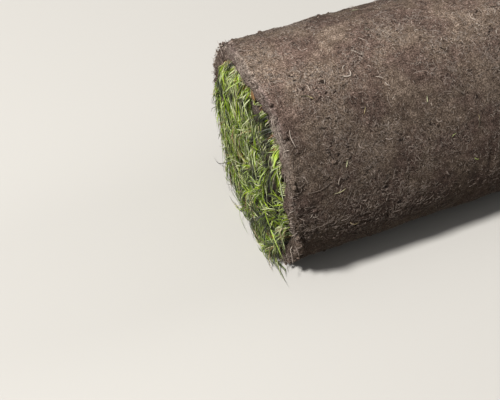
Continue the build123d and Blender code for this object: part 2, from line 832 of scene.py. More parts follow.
@dataclass(frozen=True)
class CutLoam(Finish):
    """Loam that a blade has cut and the air has parched: matt, crumbly and matted with fine torn roots.

    The eye sees a taupe felt of short curls with small pores between them, painted near black as painted
    shade, reddish in some places and mossy in others. It is paler on the cut sides, and painted paler on top
    as painted light; its inner turns are painted darker, as painted shade.
    """

    name: str = "cut_loam"
    slot: Slot = Slot.SOIL
    roughness: float = 0.95
    specular: float = 0.15
    ramp: Ramp = ((0.36, "#15100d"), (0.455, "#3f342d"), (0.545, "#594d45"), (0.65, "#8b7d73"))
    # Real grains and root ends are 0.1 to 0.5 mm, too fine to show, so these are drawn coarser
    grain: float = 1.4 * MM
    clod: float = 8 * MM
    # The clods' share in the tone where the soil is smeared, and where it is torn
    clod_share: Span = (0.36, 0.15)
    patch: float = 40 * MM
    patch_share: float = 0.25
    # The noise from which the soil is reddish to which it is mossy
    moss: Span = (0.42, 0.58)
    reddish: str = "#fbf0ee"
    mossy: str = "#f3eee5"
    curl_sizes: tuple[float, ...] = (3.5 * MM, 6 * MM)
    curl_width: float = 0.8 * MM
    curl_colour: str = "#a39486"
    curl_share: float = 0.6
    # How far apart the noise's level lines are that the curls follow, and how steep the noise is there
    curl_levels: float = 0.06
    curl_slope: float = 0.16
    # How close their breaks are together, and the noise from which they are broken to which they are whole
    curl_breaks: float = 1.4
    curl_whole: Span = (0.42, 0.52)
    curls_where_smeared: float = 0.3
    pore: float = 4.5 * MM
    pore_squeeze: Triple = (0.55, 1.0, 1.0)
    # The noise at a pore's rim, and where it is fully dark
    pore_edge: Span = (0.41, 0.33)
    # The pores are painted near black, as painted shade in them
    pore_shade_colour: str = "#150f0c"
    pore_shade_share: float = 0.9
    side_tint: str = "#ecf4fd"
    side_gain: float = 1.0
    # How much painted light pales the top, and painted shade darkens the inner turns
    painted_light_gain: float = 0.75
    relief: float = 1.3 * MM

    def looks(self, tree: Tree) -> dict[str, Socket]:
        """Layers grains, curls, pores and tints.

        Args:
            tree: the material's node tree.

        Returns:
            The colour and the normal.
        """
        place = add_node(tree, "TexCoord", output="Object")
        torn, rim, painted_light = (
            add_node(tree, "Attribute", output="Fac", attribute_name=name) for name in ("torn", "rim", "painted_light")
        )
        grain, clods, patches = (
            add_node(tree, "TexNoise", {"Vector": place, "Scale": 1 / size, "Detail": detail})
            for size, detail in ((self.grain, 1.0), (self.clod, 2.0), (self.patch, 2.0))
        )
        limits = {"Value": torn, "To Min": self.clod_share[0], "To Max": self.clod_share[1]}
        smeared = add_node(tree, "MapRange", limits)
        tone = add_node(tree, "Mix", {"Factor": smeared, "A": grain, "B": clods})
        tone = add_node(tree, "Mix", {"Factor": self.patch_share, "A": tone, "B": patches})
        colour = add_node(tree, "ValToRGB", {"Fac": tone}, stops=self.ramp)

        curl = self.curl_mask(tree, place, torn)
        pores = self.pore_mask(tree, place, torn)
        # The pores' dark colour is painted shade
        covers = ((curl, self.curl_share, self.curl_colour), (pores, self.pore_shade_share, self.pore_shade_colour))
        for mask, share, cover in covers:
            share = add_node(tree, "Math", {0: mask, 1: share}, operation="MULTIPLY")
            layers = {"Factor": share, "A": colour, "B": linear(cover)}
            colour = add_node(tree, "Mix", layers, data_type="RGBA")

        limits = {"Value": patches, "From Min": self.moss[0], "From Max": self.moss[1]}
        moss = add_node(tree, "MapRange", limits)
        for share, first, second in ((moss, self.reddish, self.mossy), (rim, "#ffffff", self.side_tint)):
            tints = {"Factor": share, "A": linear(first), "B": linear(second)}
            tint = add_node(tree, "Mix", tints, data_type="RGBA")
            colour = add_node(tree, "VectorMath", {0: colour, 1: tint}, operation="MULTIPLY")
        # Paler on the cut sides; painted light pales the top, and painted shade darkens the inner turns and
        # the rims low down and along a crease
        gain = 1.0
        for share, strength in ((rim, self.side_gain), (painted_light, self.painted_light_gain)):
            gain = add_node(tree, "Math", {0: share, 1: strength, 2: gain}, operation="MULTIPLY_ADD")
        colour = add_node(tree, "VectorMath", {0: colour, "Scale": gain}, operation="SCALE")

        height = add_node(tree, "Math", {0: curl, 1: self.curl_share, 2: grain}, operation="MULTIPLY_ADD")
        height = add_node(tree, "Math", {0: height, 1: pores}, operation="SUBTRACT")
        bump = add_node(tree, "Bump", {"Strength": 1.0, "Distance": self.relief, "Height": height})
        return {"Base Color": colour, "Normal": bump}

    def curl_mask(self, tree: Tree, place: Socket, torn: Socket) -> Socket:
        """Short curled root ends, which follow level lines of noise and are fewer where the soil is smeared.

        Args:
            tree: the material's node tree.
            place: the coordinates.
            torn: how roughly the soil is torn.

        Returns:
            The mask, up to 1 on a root end.
        """
        total = None
        for size in self.curl_sizes:
            inputs = {"Vector": place, "Scale": 1 / size, "Detail": 1.0, "Roughness": 0.4, "Distortion": 0.8}
            level = add_node(tree, "TexNoise", inputs)
            off = add_node(tree, "Math", {0: level, 1: self.curl_levels}, operation="PINGPONG")
            width = self.curl_slope * self.curl_width / size
            limits = {"Value": off, "From Min": width, "From Max": 0.0}
            line = add_node(tree, "MapRange", limits, interpolation_type="SMOOTHSTEP")
            inputs = {"Vector": place, "Scale": self.curl_breaks / size, "Detail": 0.0}
            breaks = add_node(tree, "TexNoise", inputs)
            limits = {"Value": breaks, "From Min": self.curl_whole[0], "From Max": self.curl_whole[1]}
            part = add_node(tree, "MapRange", limits)
            line = add_node(tree, "Math", {0: line, 1: part}, operation="MULTIPLY")
            if total:
                line = add_node(tree, "Math", {0: total, 1: line}, operation="MAXIMUM")
            total = line
        least = self.curls_where_smeared
        share = add_node(tree, "Math", {0: torn, 1: 1 - least, 2: least}, operation="MULTIPLY_ADD")
        return add_node(tree, "Math", {0: total, 1: share}, operation="MULTIPLY")

    def pore_mask(self, tree: Tree, place: Socket, torn: Socket) -> Socket:
        """Pores, drawn out along the roll, which only torn soil has.

        Args:
            tree: the material's node tree.
            place: the coordinates.
            torn: how roughly the soil is torn.

        Returns:
            The mask, up to 1 in a pore.
        """
        squeezed = add_node(tree, "VectorMath", {0: place, 1: self.pore_squeeze}, operation="MULTIPLY")
        inputs = {"Vector": squeezed, "Scale": 1 / self.pore, "Detail": 2.0, "Distortion": 0.5}
        pores = add_node(tree, "TexNoise", inputs)
        limits = {"Value": pores, "From Min": self.pore_edge[0], "From Max": self.pore_edge[1]}
        pores = add_node(tree, "MapRange", limits, interpolation_type="SMOOTHSTEP")
        return add_node(tree, "Math", {0: pores, 1: torn}, operation="MULTIPLY")


@dataclass(frozen=True)
class TornRoots(Finish):
    """Fine grass roots, torn by the blade and parched: taupe to pale threads, duller than straw."""

    name: str = "torn_roots"
    slot: Slot = Slot.SOIL
    roughness: float = 0.8
    specular: float = 0.3
    ramp: Ramp = ((0.0, "#372d27"), (0.4, "#706359"), (0.75, "#9a8b7f"), (1.0, "#cdbeae"))

    def looks(self, tree: Tree) -> dict[str, Socket]:
        """Gives each thread the colour of its tone."""
        tone = add_node(tree, "Attribute", output="Fac", attribute_name="tone")
        return {"Base Color": add_node(tree, "ValToRGB", {"Fac": tone}, stops=self.ramp)}


@dataclass(frozen=True)
class LawnGrass(Finish):
    """Living rye and meadow grass: waxy green blades with feet painted dark as painted shade, and straw and
    dead ones among them.

    The eye sees greens that change from blade to blade, from fresh to greyish, with a soft gloss on the bent
    backs, and painted shade in dark places between the clumps.
    """

    name: str = "lawn_grass"
    slot: Slot = Slot.GRASS
    roughness: float = 0.34
    specular: float = 0.45
    # Its palest greens are partly pale blade undersides and partly painted highlights
    ramp: Ramp = (
        (0.0, "#171f07"),
        (0.3, "#6c8028"),
        (0.55, "#adbe50"),
        (0.75, "#d8e2b2"),
        (0.84, "#cbbf90"),
        (0.94, "#a08658"),
        (1.0, "#9a5c2b"),
    )
    # The feet are painted dark, as painted shade where the blades leave the turns
    shaded_foot_colour: str = "#45391c"
    shaded_foot_share: float = 0.9
    shaded_foot_reach: float = 0.45
    clump: float = 14 * MM
    # The tones from which a blade is dry and to which it is green, and how fresh a dry one counts
    green_to: Span = (0.8, 0.75)
    dry_freshness: float = 0.4
    clump_freshness: float = 0.5
    fresh_range: Span = (0.25, 0.75)
    saturation: Span = (0.7, 1.6)
    hue: float = 0.482
    hue_by_freshness: float = 0.045
    painted_shade_colour: str = "#0f1206"
    painted_shade_share: float = 0.9
    # The noise from which a place has no painted shade to which it is fully shaded
    painted_shade_edge: Span = (0.46, 0.36)
    painted_shade_squeeze: Triple = (0.4, 1.0, 0.6)
    # Moves the painted shade to about where the photograph shows dark places between the clumps
    painted_shade_shift: Triple = (0.23, 0.05, 0.13)

    def looks(self, tree: Tree) -> dict[str, Socket]:
        """Colours the blades by their tones, then darkens their feet with painted shade, freshens some, and
        darkens places between the clumps with painted shade.

        Args:
            tree: the material's node tree.

        Returns:
            The colour.
        """
        place = add_node(tree, "TexCoord", output="Object")
        tone, reach = (
            add_node(tree, "Attribute", output="Fac", attribute_name=name) for name in ("tone", "reach")
        )
        colour = add_node(tree, "ValToRGB", {"Fac": tone}, stops=self.ramp)
        # The feet are painted dark, as painted shade
        limits = {"Value": reach, "From Max": self.shaded_foot_reach, "To Min": self.shaded_foot_share, "To Max": 0.0}
        layers = {"Factor": add_node(tree, "MapRange", limits), "A": colour, "B": linear(self.shaded_foot_colour)}
        colour = add_node(tree, "Mix", layers, data_type="RGBA")

        fresh = self.freshness(tree, place, tone)
        limits = {"Value": fresh, "From Min": self.fresh_range[0], "From Max": self.fresh_range[1]}
        limits |= {"To Min": self.saturation[0], "To Max": self.saturation[1]}
        saturation = add_node(tree, "MapRange", limits)
        inputs = {0: fresh, 1: self.hue_by_freshness, 2: self.hue}
        hue = add_node(tree, "Math", inputs, operation="MULTIPLY_ADD")
        colour = add_node(tree, "HueSaturation", {"Hue": hue, "Saturation": saturation, "Color": colour})

        # Painted shade: dark places between the clumps
        inputs = {0: place, 1: self.painted_shade_squeeze, 2: self.painted_shade_shift}
        hanging = add_node(tree, "VectorMath", inputs, operation="MULTIPLY_ADD")
        painted_shade = add_node(tree, "TexNoise", {"Vector": hanging, "Scale": 1 / self.clump, "Detail": 1.0})
        unshaded_from, shaded_to = self.painted_shade_edge
        limits = {"Value": painted_shade, "From Min": unshaded_from, "From Max": shaded_to, "To Max": self.painted_shade_share}
        painted_shade = add_node(tree, "MapRange", limits, interpolation_type="SMOOTHSTEP")
        layers = {"Factor": painted_shade, "A": colour, "B": linear(self.painted_shade_colour)}
        return {"Base Color": add_node(tree, "Mix", layers, data_type="RGBA")}

    def freshness(self, tree: Tree, place: Socket, tone: Socket) -> Socket:
        """How fresh a blade is, by chance of its own and by its clump.

        Args:
            tree: the material's node tree.
            place: the coordinates.
            tone: the blade's tone.

        Returns:
            The freshness, from 0 to 1.
        """
        clumps = add_node(tree, "TexNoise", {"Vector": place, "Scale": 1 / self.clump, "Detail": 1.0})
        own = add_node(tree, "TexWhiteNoise", {"W": tone}, output="Value", noise_dimensions="1D")
        fresh = add_node(tree, "Mix", {"Factor": self.clump_freshness, "A": own, "B": clumps})
        limits = {"Value": tone, "From Min": self.green_to[0], "From Max": self.green_to[1]}
        green = add_node(tree, "MapRange", limits)
        return add_node(tree, "Mix", {"Factor": green, "A": self.dry_freshness, "B": fresh})


@dataclass(frozen=True)
class Thatch(Finish):
    """Grass pressed flat between the turns: a tangled olive mat, painted dark as painted shade between the
    turns.
    """

    name: str = "pressed_thatch"
    slot: Slot = Slot.GRASS
    roughness: float = 0.8
    specular: float = 0.3
    # Dark colours, painted shade for the shade between the turns
    ramp: Ramp = ((0.35, "#12160a"), (0.5, "#2b3415"), (0.65, "#525a29"))
    strand: float = 4 * MM
    relief: float = 3 * MM

    def looks(self, tree: Tree) -> dict[str, Socket]:
        """Tangles the strands.

        Args:
            tree: the material's node tree.

        Returns:
            The colour and the normal.
        """
        place = add_node(tree, "TexCoord", output="Object")
        inputs = {"Vector": place, "Scale": 1 / self.strand, "Detail": 4.0, "Distortion": 1.5}
        tangle = add_node(tree, "TexNoise", inputs)
        colour = add_node(tree, "ValToRGB", {"Fac": tangle}, stops=self.ramp)
        bump = add_node(tree, "Bump", {"Distance": self.relief, "Height": tangle})
        return {"Base Color": colour, "Normal": bump}


@dataclass(frozen=True)
class PlainFloor(Finish):
    """A matt studio floor, which looks pale and yet throws only a little light back on the roll."""

    name: str = "studio_floor"
    slot: Slot | None = None
    roughness: float = 0.9
    specular: float = 0.1
    shown: str = "#c2beb7"
    thrown_back: str = "#5f574e"

    def looks(self, tree: Tree) -> dict[str, Socket]:
        """Shows the eye one colour and the roll another."""
        inputs = {"Factor": plainly_seen(tree), "A": linear(self.thrown_back), "B": linear(self.shown)}
        return {"Base Color": add_node(tree, "Mix", inputs, data_type="RGBA")}


@dataclass(frozen=True)
class Piece(ABC):
    """A piece of the roll, which is laid on the strip or grows from it and is wound up with it."""

    # The solid that the piece stands for
    stands_for: ClassVar[str | None] = None

    ground: Ground

    @property
    def winding(self) -> Winding:
        """The strip, and how it is wound up."""
        return self.ground.winding

    @abstractmethod
    def mesh(self) -> bpy.types.Mesh:
        """Models the piece.

        Returns:
            Its mesh, in its place and with its name.
        """

    def build(self, finish: Finish) -> bpy.types.Object:
        """Makes the piece, dresses it and puts it into the scene.

        Args:
            finish: what it is made of.

        Returns:
            The piece.
        """
        mesh = self.mesh()
        mesh.polygons.foreach_set("use_smooth", np.ones(len(mesh.polygons), dtype=bool))
        mesh.materials.append(finish.material)
        mesh.calc_loop_triangles()
        piece = add_object(mesh.name, mesh)
        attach(piece, BODY)
        if self.stands_for:
            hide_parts(self.stands_for)
        return piece


@dataclass(frozen=True)
class SoilStrip(Piece):
    """The strip's soil, one slab from its inner end in the eye to its outer end under the roll."""

    stands_for: ClassVar[str | None] = NODE

    fine_step: float = 3 * MM
    coarse_step: float = 6 * MM
    row_step: float = 3.2 * MM
    edge_rows: tuple[float, ...] = (0.0, 1.2 * MM, 2.6 * MM, 4.2 * MM, 6 * MM, 8.4 * MM)
    layers: int = 7
    kept_rows: int = 14
    edge_radius: float = 6 * MM
    touching: float = 0.01 * MM
    # The rims are painted darker towards the first height and paler towards the second, as painted shade and
    # painted light
    rim_shade_below: float = 140 * MM
    rim_light_above: float = 220 * MM
    darkest_rim: float = -0.15
    # How much darker the inner turns are painted, as painted shade between the turns
    painted_shade_inside: float = 0.95
    # Near the roll's ends the top is painted paler still, as painted light, within about this width
    end_light_paint: float = 0.9
    end_width: float = 90 * MM
    rim_width: float = 3.8 * MM
    rim_level: float = 1.3
    # A crease this far in from each cut side is painted darker, as painted shade
    crease_inset: float = 9 * MM
    crease_width: float = 3.5 * MM
    crease_shade: float = 0.5

    def rows(self) -> np.ndarray:
        """The slab's lines across the strip, close together beside the cut sides.

        Returns:
            Where they are across the strip.
        """
        half_width = self.winding.half_width
        inner = half_width - self.edge_rows[-1]
        middle = np.linspace(-inner, inner, round(2 * inner / self.row_step) + 1)
        edge = half_width - np.array(self.edge_rows[:-1])
        return np.concatenate([-edge, middle, edge[::-1]])

    def columns(self) -> tuple[np.ndarray, int]:
        """The slab's lines along the strip, closer together on the outermost turn.

        Returns:
            Where they are along the strip, and the number of them before the outermost turn.
        """
        start, end = self.winding.last_turn, self.winding.length
        hidden = np.linspace(0, start, round(start / self.coarse_step), endpoint=False)
        shown = np.linspace(start, end, round((end - start) / self.fine_step) + 1)
        return np.concatenate([hidden, shown]), len(hidden)

    def rounded(self, across: np.ndarray, out: np.ndarray) -> tuple[np.ndarray, np.ndarray]:
        """Wears the edges between the outer face and the cut sides round.

        Args:
            across: where the slab's vertices are across the strip.
            out: how far they are from the soil's grassy face.

        Returns:
            Both as they are with round edges.
        """
        inset = self.ground.inset(across)
        depth = self.winding.soil - out
        radius = self.edge_radius
        on_face = (depth < self.touching) & (inset < radius)
        on_side = (inset < self.touching) & (depth < radius)
        bend = math.pi / 4 * np.where(on_face, 1 + inset / radius, 1 - depth / radius)
        worn = on_face | on_side
        inset = np.where(worn, radius * (1 - np.cos(bend)), inset)
        depth = np.where(worn, radius * (1 - np.sin(bend)), depth)
        return np.sign(across) * (self.winding.half_width - inset), self.winding.soil - depth

    def mesh(self) -> bpy.types.Mesh:
        """Makes the slab, winds it up and roughens it.

        Returns:
            A mesh with the attributes rim, dry and torn.
        """
        rows = self.rows()
        columns, hidden = self.columns()
        cells = len(columns) - 1
        slab = flat_slab(cells, len(rows) - 1, self.layers, self.kept_rows, hidden / cells)
        mesh = mesh_of(slab, "soil_strip")
        flat = read_vectors(mesh.vertices, "co")
        along = np.interp(flat[:, 0] * cells, np.arange(len(columns)), columns)
        across = np.interp(flat[:, 1] * (len(rows) - 1), np.arange(len(rows)), rows)
        worn_across, out = self.rounded(across, flat[:, 2] * self.winding.soil)
        places = self.winding.place(worn_across, along, out)
        write_vectors(mesh.vertices, "co", places)
        mesh.update()
        normals = read_vectors(mesh.vertex_normals, "vector")
        places += normals * self.ground.height(places, across)[:, None]
        places[:, 0] += self.ground.stray(across, along)
        places[:, 2] = np.maximum(places[:, 2], ON_FLOOR)
        write_vectors(mesh.vertices, "co", places)
        mesh.update()
        self.add_wear(mesh, places, self.ground.inset(across), along)
        return mesh

    def add_wear(
        self, mesh: bpy.types.Mesh, places: np.ndarray, inset: np.ndarray, along: np.ndarray
    ) -> None:
        """Gives the slab what its finish reads: how pale its rims are, with painted shade low down and along
        a crease, how far painted light pales its top and painted shade darkens its inner turns, and how torn
        it is.

        Args:
            mesh: the slab's mesh.
            places: its vertices.
            inset: how far they lie from the nearer cut side.
            along: where they are along the strip.
        """
        torn = self.ground.torn(places)
        # The rims are painted paler high up and darker low down, as painted light and shade, and darker along
        # a crease, as painted shade
        rim_light_share = (places[:, 2] - self.rim_shade_below) / (self.rim_light_above - self.rim_shade_below)
        rim = np.clip(self.rim_level - inset / self.rim_width, 0, 1) * np.clip(rim_light_share, self.darkest_rim, 1)
        crease = np.exp(-(((inset - self.crease_inset) / self.crease_width) ** 2)) * torn
        inside = np.clip((self.winding.last_turn - along) / self.rim_width, 0, 1)
        # Painted light pales the top, most near the roll's ends
        top_light_paint = painted_top_light(places) * (1 + self.end_light_paint * np.exp(-((inset / self.end_width) ** 2)))
        add_value(mesh, "rim", rim - self.crease_shade * crease)
        # The inner turns are painted darker, as painted shade
        add_value(mesh, "painted_light", top_light_paint * (1 - inside) - self.painted_shade_inside * inside)
        add_value(mesh, "torn", torn)


@dataclass(frozen=True)
class PressedGrass(Piece):
    """The grass between the turns, pressed to a mat that ends a little way inside the roll's ends."""

    step: float = 7 * MM
    rows: int = 3
    layers: int = 4
    recess: float = 18 * MM
    raggedness: tuple[Span, ...] = ((12 * MM, 5 * MM),)
    # How thick the mat counts where its ragged edge is worked out
    ragged_depth: float = 50 * MM
    sunk: float = 1 * MM

    def mesh(self) -> bpy.types.Mesh:
        """Makes the mat as a slab on the strip and winds it up.

        Returns:
            The mesh.
        """
        length = self.winding.length
        mesh = mesh_of(flat_slab(round(length / self.step), self.rows, self.layers, 0, 1.0), "pressed_grass")
        flat = read_vectors(mesh.vertices, "co")
        ragged = self.ground.lattice.layered(flat * (length, 1, self.ragged_depth), self.raggedness)
        across = (flat[:, 1] * 2 - 1) * (self.winding.half_width - self.recess + ragged)
        along = np.minimum(flat[:, 0] * length, length - self.sunk)
        low, high = -self.winding.pile - self.sunk, self.sunk
        out = low + flat[:, 2] * (high - low)
        write_vectors(mesh.vertices, "co", self.winding.place(across, along, out))
        mesh.update()
        return mesh


@dataclass
class Blades:
    """What kind each blade of an end's grass is.

    Tuft is the number of its tuft, stubble tells the short, dry blades, and seen tells those of the tufts
    that stand out in the photograph.
    """

    tuft: np.ndarray
    stubble: np.ndarray
    seen: np.ndarray


@dataclass(frozen=True)
class EndGrass(Piece):
    """The grass that is squeezed out between the turns at one end of the roll, and hangs down over them."""

    side: Side
    seed: int
    tufts: int
    blades_in_tuft: int = 10
    tuft_spread: float = 2.2 * MM
    clump: float = 13 * MM
    clump_disorder: float = 0.15
    ring_spread: float = 3 * MM
    half_width: float = 0.78 * MM
    half_thickness: float = 0.28 * MM
    profile: tuple[float, ...] = (0.7, 1.0, 1.0, 0.97, 0.85, 0.55, 0.1)
    scales: Span = (0.55, 1.15)
    stubble_scale: float = 0.65
    seen_scale: float = 1.3
    twist: float = 0.8
    spans: int = 6
    lengths: Span = (24 * MM, 70 * MM)
    lengths_of_tufts: Span = (0.8, 1.1)
    lengths_in_seen_tufts: Span = (0.7, 1.2)
    stubble_lengths: Span = (8 * MM, 20 * MM)
    # How much longer a blade is for how deep it grows
    longer_by_depth: float = 0.7
    deepest: float = 30 * MM
    depth_power: float = 1.6
    stubble_depth: float = 0.3
    # One tuft in so many grows on the outermost turn
    ring_share: int = 6
    stubble_share: float = 0.16
    straw_share: float = 0.08
    dead_share: float = 0.006
    stiff_share: float = 0.2
    # The stiff blades' and the stubble's weights, and the others'
    weights: tuple[Span, Span] = ((0.02, 0.06), (0.05, 0.22))
    seen_weight: float = 0.3
    bend: Triple = (0.03, 0.045, 0.03)
    # A bend lifts a blade by no more than this share of its weight
    most_lift: float = 0.5
    # How a blade heads as it leaves the soil: out of the end, towards the eye, and along the strip
    push: Span = (0.25, 0.9)
    seen_push: float = 0.15
    inward: Span = (0.3, 1.0)
    covered_inward: float = 0.3
    seen_inward: float = 0.35
    tuft_lean: float = 0.9
    blade_lean: float = 0.4
    covered_lean: float = 0.5
    seen_lean: float = 1.0
    seen_lean_spread: float = 0.3
    # How steeply it may rise, and how steeply it has to fall where a turn covers it
    steepest: float = 0.1
    # How far it may stand out of the end, by its tuft, which few let stand far out, and by itself
    least_proud: float = 1.5 * MM
    proudest: float = 15 * MM
    proud_shape: Span = (1.2, 3.0)
    proud_of_blade: Span = (0.6, 1.2)
    stiff_proud: float = 1.2
    seen_proud: float = 14 * MM
    nearest_share: float = 0.3
    greenness: float = 0.39
    tuft_tones: float = 0.15
    blade_tones: float = 0.28
    # How much paler the upper tufts are painted, as painted light
    top_light_tone_range: float = 0.27
    palest_green: float = 0.78
    straw_tones: Span = (0.78, 0.96)
    stubble_straw_share: float = 0.45
    # How many times likelier stubble is to be dead
    stubble_deadness: float = 20
    # Tufts that stand out in the photograph, each as its winding angle in degrees, its tone and its length
    seen_tufts: tuple[Triple, ...] = ()

    def mesh(self) -> bpy.types.Mesh:
        """Grows the tufts and lets them hang.

        Returns:
            The blades.
        """
        rng = np.random.default_rng(self.seed)
        tuft = np.repeat(np.arange(self.tufts), self.blades_in_tuft)
        stubble = rng.random(tuft.size) < self.stubble_share
        blades = Blades(tuft, stubble, tuft < len(self.seen_tufts))
        lines = self.hanging(rng, blades, self.tuft_places(rng)).lines(self.spans)
        headings = unit(np.gradient(lines, axis=1))
        twist = rng.normal(0, self.twist, tuft.size)[:, None, None]
        flat_on_end = np.cross(headings, Side.RIGHT.outwards)
        sides = flat_on_end * np.cos(twist) + np.cross(headings, flat_on_end) * np.sin(twist)
        scale = rng.uniform(*self.scales, tuft.size) * np.where(stubble, self.stubble_scale, 1)
        scale = np.where(blades.seen, self.seen_scale, scale)[:, None] * np.array(self.profile)
        tones = self.tones(rng, blades, lines[:: self.blades_in_tuft, 0, 2])
        strands = Strands(lines, sides, scale * self.half_width, scale * self.half_thickness, tones)
        return strands.mesh(f"{self.side.name.lower()}_end_grass")

    def tones(self, rng: np.random.Generator, blades: Blades, heights: np.ndarray) -> np.ndarray:
        """Each blade's colour, from 0, dark green, to 1, dead. The blades of a tuft are somewhat alike.

        Args:
            rng: the source of chance.
            blades: what kind each blade is.
            heights: how high each tuft is. The upper ones are painted a little paler, as painted light.

        Returns:
            The blades' tones.
        """
        tuft, stubble = blades.tuft, blades.stubble
        # The upper tufts are painted paler, as painted light
        tuft_top_light = self.top_light_tone_range * (heights / heights.max() - 0.5)
        of_tuft = rng.normal(self.greenness, self.tuft_tones, self.tufts) + tuft_top_light
        own = rng.normal(0, self.blade_tones, tuft.size)
        green = np.clip(of_tuft[tuft] + own, 0.0, self.palest_green)
        kind = rng.random(tuft.size)
        straw = kind < np.where(stubble, self.stubble_straw_share, self.straw_share)
        tones = np.where(straw, rng.uniform(*self.straw_tones, tuft.size), green)
        dead = kind > 1 - np.where(stubble, self.stubble_deadness, 1) * self.dead_share
        tones = np.where(dead, 1.0, tones)
        for number, (_, tone, _) in enumerate(self.seen_tufts):
            tones[tuft == number] = tone
        return tones

    def tuft_places(self, rng: np.random.Generator) -> np.ndarray:
        """Chooses where the tufts grow: some evenly on the outermost turn, and the others in clumps.

        Args:
            rng: the source of chance.

        Returns:
            Where each tuft is along the strip.
        """
        winding = self.winding
        tries = rng.uniform(0, winding.length, self.tufts * 3)
        on_end = winding.place(np.full(tries.size, self.side.value * winding.half_width), tries, 0.0)
        disorder = rng.normal(0, self.clump_disorder, tries.size)
        favour = self.ground.lattice.at(on_end, self.clump) + disorder
        places = tries[np.argsort(favour)[-self.tufts :]]
        ring = self.tufts // self.ring_share
        spread = rng.normal(0, self.ring_spread, ring)
        places[:ring] = np.linspace(winding.last_turn, winding.length, ring) + spread
        for number, (angle, _, _) in enumerate(self.seen_tufts):
            places[number] = winding.along_at(math.radians(angle))
        return places

    def hanging(self, rng: np.random.Generator, blades: Blades, places: np.ndarray) -> Hanging:
        """Sets out how each blade grows from the soil's inner face, near the end of the roll.

        Args:
            rng: the source of chance.
            blades: what kind each blade is.
            places: where along the strip each tuft grows.

        Returns:
            The blades, ready to hang.
        """
        winding = self.winding
        tuft, stubble, seen = blades.tuft, blades.stubble, blades.seen
        count = tuft.size
        foot = places[tuft] + rng.normal(0, self.tuft_spread, count)
        foot = np.clip(foot, MARGIN, winding.length - MARGIN)
        depth = (self.deepest * rng.random(self.tufts) ** self.depth_power)[tuft]
        depth = np.abs(depth + rng.normal(0, self.tuft_spread, count))
        depth = np.where(seen, 0, np.where(stubble, self.stubble_depth, 1) * depth) + MARGIN
        across = self.side.value * (winding.half_width - depth)
        feet = winding.place(across, foot, MARGIN)
        feet[:, 0] += self.ground.stray(across, foot)

        lean = rng.normal(0, self.tuft_lean, self.tufts)[tuft] + rng.normal(0, self.blade_lean, count)
        push = np.where(seen, self.seen_push, rng.uniform(*self.push, self.tufts)[tuft])
        covered = foot > winding.last_turn
        inward = rng.uniform(*self.inward, count) + self.covered_inward * covered
        inward = np.where(seen, self.seen_inward, inward)
        seen_lean = self.seen_lean + self.seen_lean_spread * lean
        lean = np.where(seen, seen_lean, np.where(covered, self.covered_lean, 1) * lean)
        headings = winding.pointing(foot, self.side.value * push, -inward, lean)
        headings[:, 2] = np.minimum(headings[:, 2], np.where(covered, -1, 1) * self.steepest)

        lengths = rng.uniform(*self.lengths, count) * rng.uniform(*self.lengths_of_tufts, self.tufts)[tuft]
        lengths = np.where(stubble, rng.uniform(*self.stubble_lengths, count), lengths)
        lengths += self.longer_by_depth * depth
        for number, (_, _, length) in enumerate(self.seen_tufts):
            shares = rng.uniform(*self.lengths_in_seen_tufts, self.blades_in_tuft)
            lengths[tuft == number] = length * shares
        stiff = rng.random(count) < self.stiff_share
        weights = np.where(seen, self.seen_weight, either(rng, stiff | stubble, self.weights))
        bends = rng.normal(0, 1, (count, 3)) * self.bend
        bends[:, 2] = np.minimum(bends[:, 2], self.most_lift * weights)
        farthest = self.least_proud + self.proudest * rng.beta(*self.proud_shape, self.tufts)[tuft]
        farthest = farthest * rng.uniform(*self.proud_of_blade, count) * np.where(stiff, self.stiff_proud, 1)
        farthest = np.where(seen, self.seen_proud, farthest)
        nearest = self.nearest_share * farthest
        return Hanging(winding, self.side, feet, unit(headings), lengths, weights, bends, nearest, farthest)


@dataclass(frozen=True)
class TailGrass(Piece):
    """The short grass that sticks out behind the strip's outer end, in the wedge under the roll."""

    seed: int = 41
    count: int = 620
    longest: float = 36 * MM
    edge_margin: float = 8 * MM
    deepest: float = 12 * MM
    profile: tuple[float, ...] = (0.8, 1.0, 1.0, 0.9, 0.6, 0.1)
    half_width: float = 1 * MM
    scales: Span = (0.6, 1.1)
    flatness: float = 0.35
    # How far they start out of the soil's grassy face, and how widely they spread
    starts: Span = (-1 * MM, 4 * MM)
    spread: float = 0.4
    shortest_share: float = 0.5
    # How high above the floor the lowest of them lie, and how much higher the others are piled
    lowest: float = 0.8 * MM
    piled: float = 2.5 * MM
    tone: float = 0.5
    tone_spread: float = 0.2
    palest: float = 0.95

    def mesh(self) -> bpy.types.Mesh:
        """Lays the blades out from under the strip's end.

        Returns:
            The blades.
        """
        rng = np.random.default_rng(self.seed)
        winding = self.winding
        across = rng.uniform(-1, 1, self.count) * (winding.half_width - self.edge_margin)
        foot = winding.length - rng.uniform(MARGIN, self.deepest, self.count)
        start = winding.place(across, foot, -rng.uniform(*self.starts, self.count))
        lengths = self.longest * rng.uniform(self.shortest_share, 1, self.count)
        way = unit(winding.pointing(foot, rng.normal(0, self.spread, self.count), 0, 1)) * lengths[:, None]
        lines = start[:, None] + way[:, None] * np.linspace(0, 1, len(self.profile))[:, None]
        lowest = self.lowest + self.piled * rng.random(self.count)[:, None] ** 2
        lines[..., 2] = np.maximum(lines[..., 2], lowest)
        scale = rng.uniform(*self.scales, self.count)[:, None] * self.half_width
        widths = np.array(self.profile) * scale
        sides = np.broadcast_to(Side.RIGHT.outwards, lines.shape)
        tones = np.clip(rng.normal(self.tone, self.tone_spread, self.count), 0, self.palest)
        return Strands(lines, sides, widths, widths * self.flatness, tones).mesh("tail_grass")


